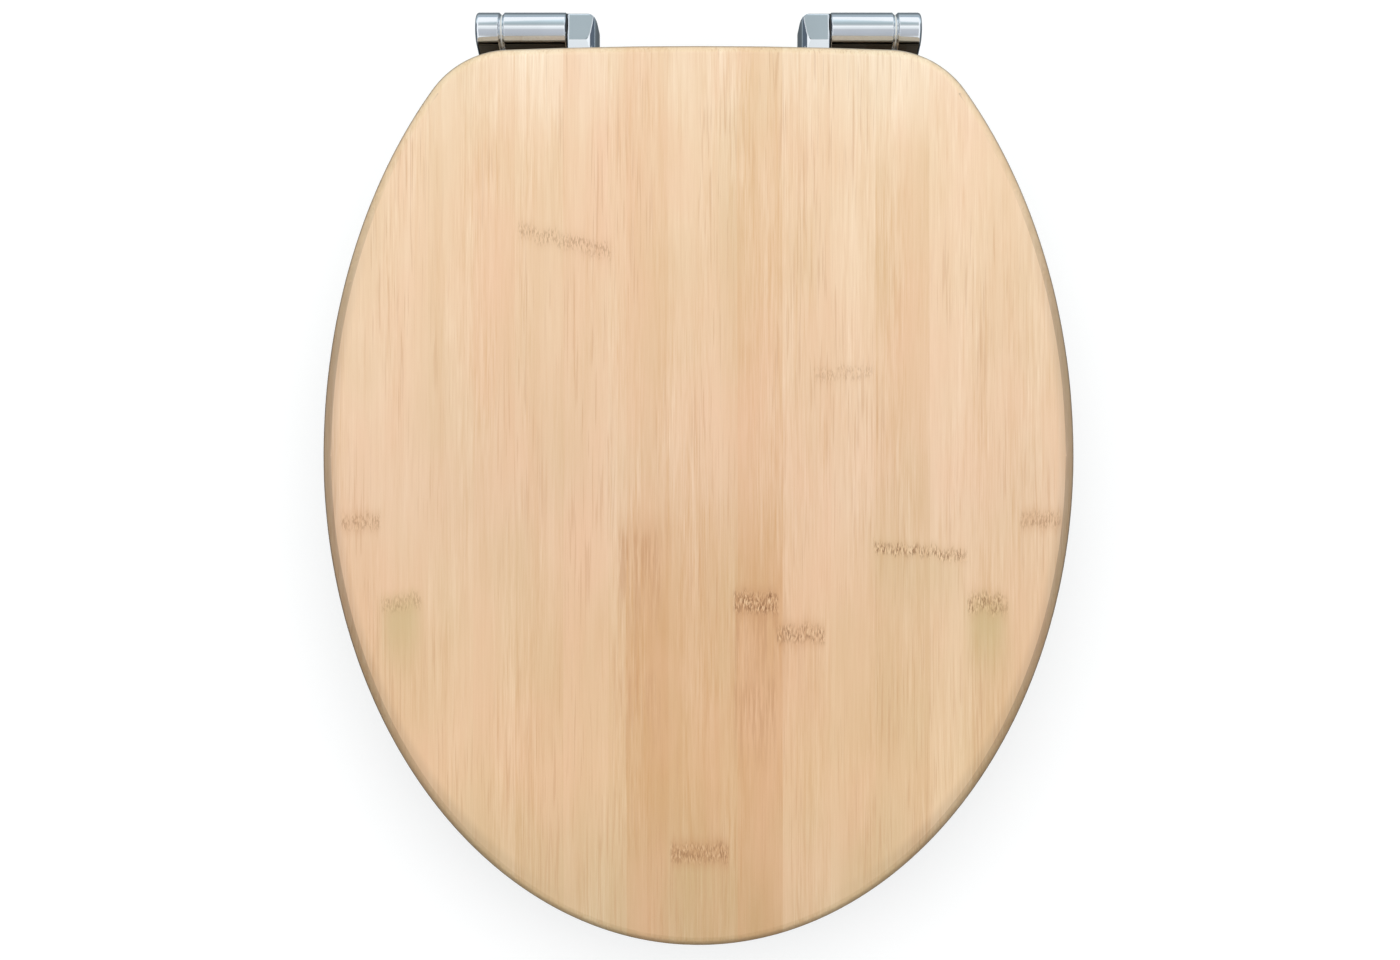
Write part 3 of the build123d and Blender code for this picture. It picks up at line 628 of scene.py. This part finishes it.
def makeChrome(name, barrel):
    # Polished plate with the faint waves of its casting and a little uneven wiping
    material, sheet, shader = newFinish(name)
    place = objectPlace(sheet)
    wipe = sheet.layer(place, *chrome["wipe"])
    cloud = sheet.noise(place, chrome["cloudScale"], 1.0, 0.5)
    paler = tuple(chrome["palerShare"] * value for value in chrome["colour"][:3]) + (1.0,)
    colour = sheet.blend(sheet.span(cloud, *evenly), chrome["colour"], paler)
    # Painted reflection: where the barrels lean forward, their colour is darkened to stand for the dark gap
    # before the lid
    if barrel:
        lean = sheet.split(sheet.add("ShaderNodeTexCoord").outputs["Normal"])[1]
        shade = sheet.span(lean, *chrome["paintedGapReflection"])
        colour = sheet.filter(colour, sheet.vector(shade, shade, shade))
    rough, change = chrome["roughness"], chrome["roughnessChange"]
    softEdge = sheet.add("ShaderNodeBevel", samples=8)
    softEdge.inputs["Radius"].default_value = chrome["edgeRadius"] * mm
    bump = sheet.bump(wipe, chrome["bumpStrength"], chrome["bumpDistance"], softEdge.outputs[0])
    roughness = sheet.span(wipe, *evenly, rough * (1 - change), rough * (1 + change))
    sheet.plug(shader.inputs["Base Color"], colour)
    sheet.plug(shader.inputs["Roughness"], roughness)
    sheet.plug(shader.inputs["Normal"], bump)
    shader.inputs["Metallic"].default_value = 1.0
    return material


def makePlain(name):
    # Moulded or turned parts: a fine even grain on one colour
    finish = plainFinishes[name]
    material, sheet, shader = newFinish(name)
    place = objectPlace(sheet)
    cloud = sheet.noise(place, plainGrain["cloudScale"], 3.0, 0.6)
    grain = sheet.noise(place, plainGrain["grainScale"], 2.0, 0.6)
    colour = srgb(*finish["colour"])
    darker = tuple(value * (1 - finish["vary"] * 2) for value in colour[:3]) + (1.0,)
    rough, change = finish["roughness"], plainGrain["roughnessChange"]
    roughness = sheet.span(grain, *evenly, rough * (1 - change), rough * (1 + change))
    sheet.plug(shader.inputs["Base Color"], sheet.blend(sheet.span(cloud, *evenly), colour, darker))
    sheet.plug(shader.inputs["Roughness"], roughness)
    sheet.plug(shader.inputs["Normal"], sheet.bump(grain, finish["bump"], plainGrain["bumpDistance"]))
    shader.inputs["Metallic"].default_value = finish["metal"]
    return material


sides = ("left", "right")


def bothSides(*pieces):
    return [f"{side}_{piece}" for side in sides for piece in pieces]


# the housings and seat arms carry the painted dark reflection
dress(bothSides("hinge_housing", "seat_arm"), makeChrome("barrelChrome", True))
dress(bothSides("lid_arm", "base_disc"), makeChrome("hingeChrome", False))
dress(["lid_bumpers", "seat_bumpers"] + bothSides("base_gasket"), makePlain("paleRubber"))
dress(bothSides("damper_body", "pin_bush", "inner_thrust_washer"), makePlain("blackNylon"))
dress(
    bothSides("outer_thrust_washer", "cone_washer", "flat_washer", "wing_nut"), makePlain("whiteNylon"))
steel = makePlain("plainSteel")
dress(["lid_bumper_screws", "seat_bumper_screws"], steel)
dress(bothSides(
    "fixing_stud", "hinge_pin", "damper_shaft", "grub_screw", "lid_arm_screws", "seat_arm_screws"), steel)
print("hinge finishes ready")


# Fixing studs with their real threads, on the axis of the plain ones

thread = {
    "pitch": 1.25,  # M8
    "crest": 4.0,
    "root": 3.40,
    "upper": (2.0, 5.5),  # the short thread in the base disc
    "lower": (-62.0, -12.0),
    "flankSlope": 2.9,  # how fast the groove deepens over one turn, and the width of its crest
    "crestShare": 0.2,
    "runOut": 1.5,  # the length over which the lower thread starts
    "chamfer": 0.9,
    "chamferSlope": 0.8,
    "turnSteps": 28,
    "pitchSteps": 8,
    "shankStep": 7.0,
}


def clip(value):
    return min(1.0, max(0.0, value))


def threadRadius(z, turn):
    # The radius at height z, where turn is the share of a full circle
    crest, root = thread["crest"], thread["root"]
    low, high = thread["lower"][0], thread["upper"][1]
    shankLow, shankHigh = thread["lower"][1], thread["upper"][0]
    if shankLow <= z <= shankHigh:
        return crest
    phase = (z / thread["pitch"] - turn) % 1.0
    groove = clip((0.5 - abs(phase - 0.5)) * thread["flankSlope"] - thread["crestShare"])
    started = clip((shankLow - z) / thread["runOut"]) if z < 0 else 1.0
    radius = crest - groove * (crest - root) * started
    toEnd = min(z - low, high - z)
    return min(radius, crest - max(0.0, thread["chamfer"] - toEnd) * thread["chamferSlope"])


def threadLevels():
    # Heights of the stud's rings of vertices: close together in the threads, far apart on the shank
    step, shankStep = thread["pitch"] / thread["pitchSteps"], thread["shankStep"]
    (low, shankLow), (shankHigh, high) = thread["lower"], thread["upper"]
    stretches = [(low, shankLow, step), (shankLow, shankHigh, shankStep), (shankHigh, high, step)]
    levels = []
    for first, last, gap in stretches:
        count = max(1, round((last - first) / gap))
        levels += [first + (last - first) * index / count for index in range(count)]
    return levels + [high]


def makeStud(side, material):
    node = f"{side}_fixing_stud"
    low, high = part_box(node)
    middle = (low + high) / 2
    around = thread["turnSteps"]
    levels = threadLevels()
    verts, faces = [], []
    for z in levels:
        for index in range(around):
            turn = index / around
            radius = threadRadius(z, turn) * mm
            angle = 2 * math.pi * turn
            verts.append((middle.x + radius * math.cos(angle), middle.y + radius * math.sin(angle), z * mm))
    for level in range(len(levels) - 1):
        for index in range(around):
            following = (index + 1) % around
            a, b = level * around + index, level * around + following
            faces.append((a, b, b + around, a + around))
    faces.append(tuple(range(around))[::-1])
    faces.append(tuple(range(len(verts) - around, len(verts))))
    mesh = bpy.data.meshes.new(f"{side}_threaded_stud")
    mesh.from_pydata(verts, [], faces)
    mesh.materials.append(material)
    for polygon in mesh.polygons:
        polygon.use_smooth = len(polygon.vertices) == 4  # the two end faces stay flat
    stud = bpy.data.objects.new(f"{side}_threaded_stud", mesh)
    bpy.context.scene.collection.objects.link(stud)
    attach(stud, "mount")
    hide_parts(node)


for side in sides:
    makeStud(side, steel)
print("threaded studs ready")


# Stage, lamps and camera

stage = {
    "floorDrop": 1.0,  # below the studs' ends
    "floorSize": 6000.0,
    "floorGrey": 0.62,
    "floorShade": 0.25,  # what the object's own light sees of it
    "floorGrain": (40.0, 0.004),  # scale and depth of its faint mottling
    "floorGlow": 0.42,
    "floorEnds": (150.0, 250.0),  # it fades out behind the studs, so that a lid swung right over shows whole
    "floorInChrome": ((20.0, 0.12), (450.0, 0.56)),  # distance behind the studs, and its brightness
    "floorInChromeTint": (0.86, 1.0, 1.10, 1.0),
    "sunStrength": 1.35,
    "sunColour": (1.0, 0.97, 0.93),
    "sunTilt": 20.0,
    "sunSpread": 60.0,
}

skyBands = [  # degrees from straight up, rear positive, and the light that comes from there
    (-130, (0.16, 0.15, 0.15)),
    (-96, (0.22, 0.20, 0.19)),
    (-88, (0.52, 0.47, 0.43)),
    (-83, (0.85, 0.77, 0.72)),
    (-76, (0.42, 0.39, 0.36)),
    (-60, (0.48, 0.47, 0.45)),
    (-20, (0.56, 0.59, 0.64)),
    (-2, (0.62, 0.64, 0.68)),
    (5, (0.92, 0.95, 0.97)),
    (11, (0.98, 1.02, 1.04)),
    (18, (1.16, 1.18, 1.18)),
    (25, (0.58, 0.62, 0.64)),
    (35, (0.46, 0.54, 0.57)),
    (46, (0.60, 0.72, 0.76)),
    (60, (0.88, 1.02, 1.10)),
    (70, (0.80, 0.94, 1.02)),
    (80, (0.58, 0.68, 0.78)),
    (92, (0.40, 0.48, 0.56)),
    (110, (0.24, 0.28, 0.32)),
    (130, (0.16, 0.18, 0.20)),
]

sidePanels = {  # the same to either side, in degrees from straight up, seen in the chrome only
    "whiteFrom": (10.0, 13.0),
    "slateFrom": (41.0, 46.0),
    "white": (1.12, 1.15, 1.18, 1.0),
    "slate": (0.12, 0.15, 0.19, 1.0),
    "slateAside": (50.0, 60.0),  # how far round from straight behind or in front the slate starts
    "slot": (2.4, 3.6),  # a dark slot straight overhead
    "slotReach": (23.0, 27.0),
    "slotColour": (0.03, 0.03, 0.04, 1.0),
}


def blendShaders(sheet, amount, first, second):
    node = sheet.add("ShaderNodeMixShader")
    for socket, value in zip(node.inputs, (amount, first, second)):
        sheet.plug(socket, value)
    return node.outputs[0]


def paintFloor(sheet):
    # A matte floor that glows for the camera, so that it is white and still takes the object's shadow
    paths = sheet.add("ShaderNodeLightPath").outputs
    seen, mirrored = paths["Is Camera Ray"], paths["Is Glossy Ray"]
    place = sheet.add("ShaderNodeTexCoord").outputs["Object"]
    behind = sheet.split(place)[1]
    grainScale, grainDepth = stage["floorGrain"]
    grain = sheet.minus(sheet.noise(place, grainScale, 2.0, 0.5), 0.5)
    grey = sheet.scaleAdd(seen, stage["floorGrey"] - stage["floorShade"], stage["floorShade"])
    grey = sheet.times(sheet.scaleAdd(grain, grainDepth, grey), sheet.minus(1.0, mirrored))
    matte = sheet.add("ShaderNodeBsdfDiffuse")
    sheet.plug(matte.inputs["Color"], sheet.vector(grey, grey, grey))
    (near, dim), (far, bright) = stage["floorInChrome"]
    mirror = sheet.times(mirrored, sheet.span(behind, near * mm, far * mm, dim, bright, False))
    glow = sheet.add("ShaderNodeEmission")
    sheet.plug(glow.inputs["Color"], sheet.blend(mirrored, (1.0, 1.0, 1.0, 1.0), stage["floorInChromeTint"]))
    sheet.plug(glow.inputs["Strength"], sheet.scaleAdd(seen, stage["floorGlow"], mirror))
    both = sheet.add("ShaderNodeAddShader")
    sheet.plug(both.inputs[0], matte.outputs[0])
    sheet.plug(both.inputs[1], glow.outputs[0])
    start, end = stage["floorEnds"]
    ended = sheet.times(seen, sheet.span(behind, start * mm, end * mm))
    fromBelow = sheet.add("ShaderNodeNewGeometry").outputs["Backfacing"]
    clear = sheet.add("ShaderNodeBsdfTransparent").outputs[0]
    surface = blendShaders(sheet, sheet.math("MAXIMUM", ended, fromBelow), both.outputs[0], clear)
    sheet.plug(sheet.add("ShaderNodeOutputMaterial").inputs["Surface"], surface)


def makeFloor():
    half = stage["floorSize"] * mm / 2
    z = cadBox[0].z - stage["floorDrop"] * mm
    corners = [(-half, -half, z), (half, -half, z), (half, half, z), (-half, half, z)]
    mesh = bpy.data.meshes.new("floor")
    mesh.from_pydata(corners, [], [(0, 1, 2, 3)])
    floor = bpy.data.objects.new("floor", mesh)
    bpy.context.scene.collection.objects.link(floor)
    material = bpy.data.materials.new("paleFloor")
    material.use_nodes = True
    material.node_tree.nodes.clear()
    paintFloor(Sheet(material.node_tree))
    mesh.materials.append(material)


def makeSky():
    # Long soft panels that run from side to side, seen by the object; the camera sees plain white
    world = bpy.data.worlds.new("studio")
    bpy.context.scene.world = world
    world.use_nodes = True
    world.node_tree.nodes.clear()
    sheet = Sheet(world.node_tree)
    x, y, z = sheet.split(sheet.add("ShaderNodeTexCoord").outputs["Generated"])
    angle = sheet.math("ARCTAN2", y, z)  # from straight up, towards the rear
    aside = sheet.math("ARCTAN2", sheet.math("ABSOLUTE", x), z)  # and to either side
    around = sheet.math("ARCTAN2", sheet.math("ABSOLUTE", x), sheet.math("ABSOLUTE", y))
    low, high = skyBands[0][0], skyBands[-1][0]
    position = sheet.span(angle, math.radians(low), math.radians(high), smooth=False)
    stops = [((place - low) / (high - low), colour + (1.0,)) for place, colour in skyBands]
    panels = sheet.ramp(position, stops)

    def past(panel, value):
        # 0 before the panel's two angles, and 1 after them
        return sheet.span(value, *[math.radians(degrees) for degrees in sidePanels[panel]])

    slot = sheet.times(sheet.minus(1.0, past("slot", aside)), past("slotReach", angle))
    slate = sheet.times(past("slateFrom", aside), past("slateAside", around))
    inChrome = sheet.blend(past("whiteFrom", aside), panels, sidePanels["white"])
    inChrome = sheet.blend(past("slateFrom", aside), inChrome, panels)
    inChrome = sheet.blend(slate, inChrome, sidePanels["slate"])
    inChrome = sheet.blend(slot, inChrome, sidePanels["slotColour"])
    paths = sheet.add("ShaderNodeLightPath").outputs
    lit = sheet.add("ShaderNodeBackground")
    sheet.plug(lit.inputs["Color"], sheet.blend(paths["Is Glossy Ray"], panels, inChrome))
    white = sheet.add("ShaderNodeBackground")
    white.inputs["Color"].default_value = (1.0, 1.0, 1.0, 1.0)
    surface = blendShaders(sheet, paths["Is Camera Ray"], lit.outputs[0], white.outputs[0])
    sheet.plug(sheet.add("ShaderNodeOutputWorld").inputs["Surface"], surface)


def makeSun():
    light = bpy.data.lights.new("softKey", "SUN")
    light.energy = stage["sunStrength"]
    light.angle = math.radians(stage["sunSpread"])
    light.color = stage["sunColour"]
    sun = bpy.data.objects.new("softKey", light)
    sun.rotation_euler = (math.radians(-stage["sunTilt"]), 0, 0)
    sun.visible_glossy = False
    bpy.context.scene.collection.objects.link(sun)


camera = {
    "lens": 35.9,
    "sensor": 36.0,
    "nearest": 10.0,  # nothing closer than this is drawn
    "overLid": 690.0,  # above the lid's top
    "x": 0.74,
    "y": -223.7,
}


def makeCamera():
    lens = bpy.data.cameras.new("camera")
    lens.lens = camera["lens"]
    lens.sensor_width = camera["sensor"]
    lens.clip_start = camera["nearest"] * mm
    seen = bpy.data.objects.new("camera", lens)
    seen.location = (camera["x"] * mm, camera["y"] * mm, cadBox[1].z + camera["overLid"] * mm)
    bpy.context.scene.collection.objects.link(seen)
    bpy.context.scene.camera = seen


makeFloor()
makeSky()
makeSun()
makeCamera()
bpy.context.scene.view_settings.view_transform = "Standard"
print("stage, lamps and camera ready")
